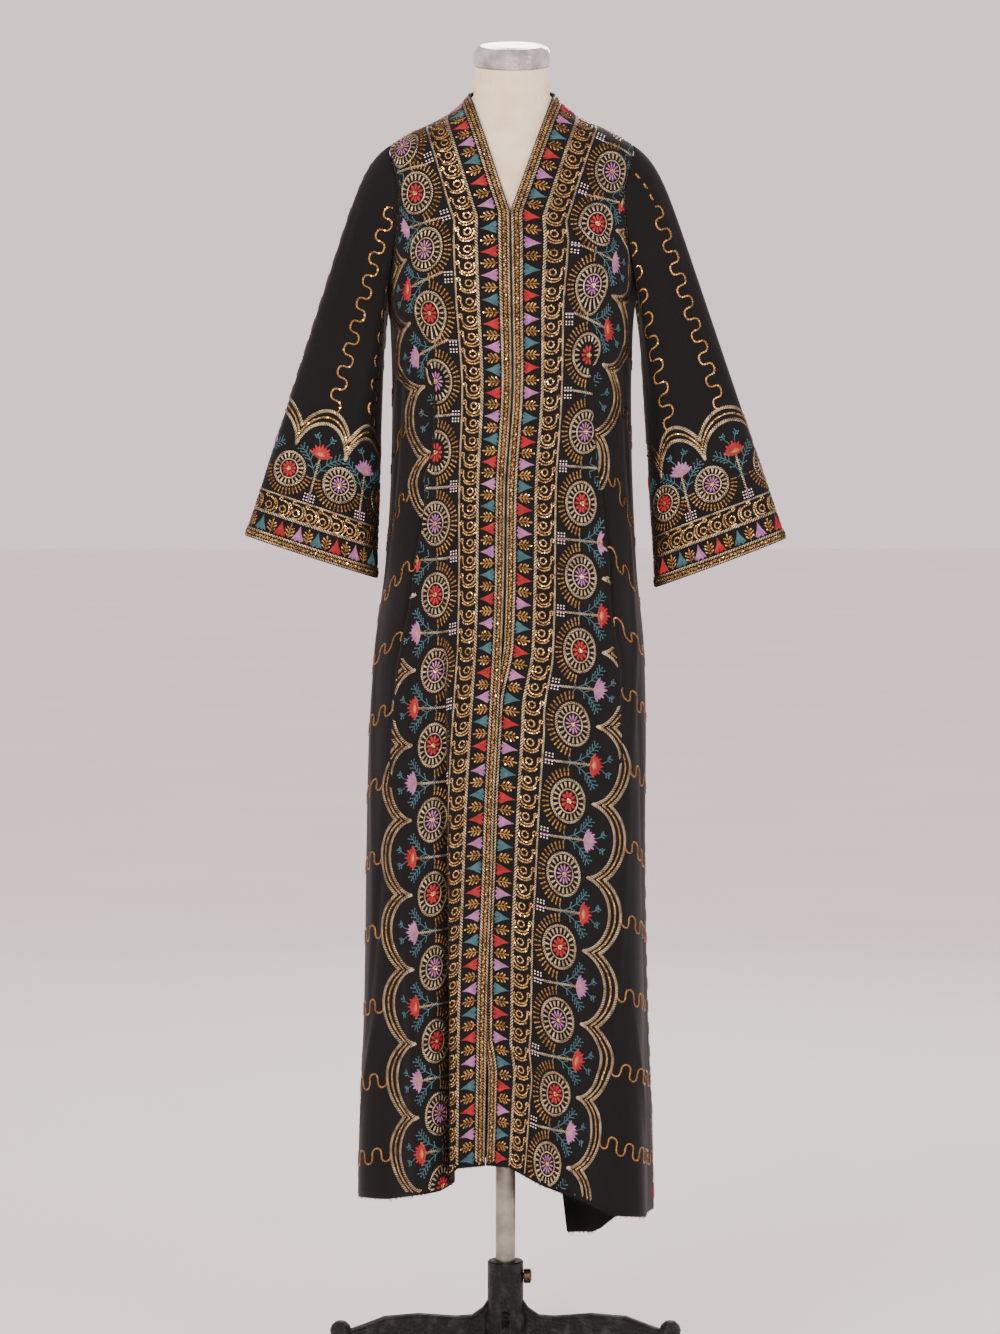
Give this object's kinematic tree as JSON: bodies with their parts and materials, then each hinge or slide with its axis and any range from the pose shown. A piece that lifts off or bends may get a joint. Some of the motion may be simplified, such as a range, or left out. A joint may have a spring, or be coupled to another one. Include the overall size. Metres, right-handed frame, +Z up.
{
  "type": "abaya on dress form with stand",
  "caption": "Long open-front black abaya with a V neck, braided edges and wide straight sleeves, on a limbless dress form with a steel pole and a cast four-legged stand.",
  "frame": {"origin": "on the floor, at the middle of the part's outline seen from above", "axes": "+Z up along the pole, -Y the way the front faces, +X to the wearer's left"},
  "size_m": [0.7036, 0.4654, 1.7559],
  "materials": {
    "black_crepe": "matte crepe",
    "metallic_braid": "metallic thread",
    "cream_form_cover": "smooth jersey cover",
    "chrome": "polished",
    "satin_steel": "satin",
    "black_cast_iron": "satin black enamel on rough casting",
    "dark_brass": "tarnished"
  },
  "bodies": {
    "base": {"cast_base": "black_cast_iron"},
    "column": {"pole": "satin_steel"},
    "form": {"torso_form": "cream_form_cover", "neck_cap": "chrome", "front_right": "black_crepe", "front_left": "black_crepe", "front_braid_right": "metallic_braid", "front_braid_left": "metallic_braid", "back": "black_crepe", "back_neck_braid": "metallic_braid", "sleeve_right": "black_crepe", "sleeve_left": "black_crepe", "cuff_braid_right": "metallic_braid", "cuff_braid_left": "metallic_braid"},
    "screw": {"set_screw": "dark_brass"}
  },
  "joints": [
    {"name": "height_slide", "type": "slide", "parent": "base", "child": "column", "axis": [0, 0, 1], "range_m": [0, 0.1]},
    {"name": "form_turn", "type": "hinge", "parent": "column", "child": "form", "pos_m": [-0.013, 0, 0.96], "axis": [0, 0, 1], "continuous": true},
    {"name": "set_screw_turn", "type": "hinge", "parent": "base", "child": "screw", "pos_m": [0.0105, 0, 0.142], "axis": [1, 0, 0], "continuous": true}
  ]
}
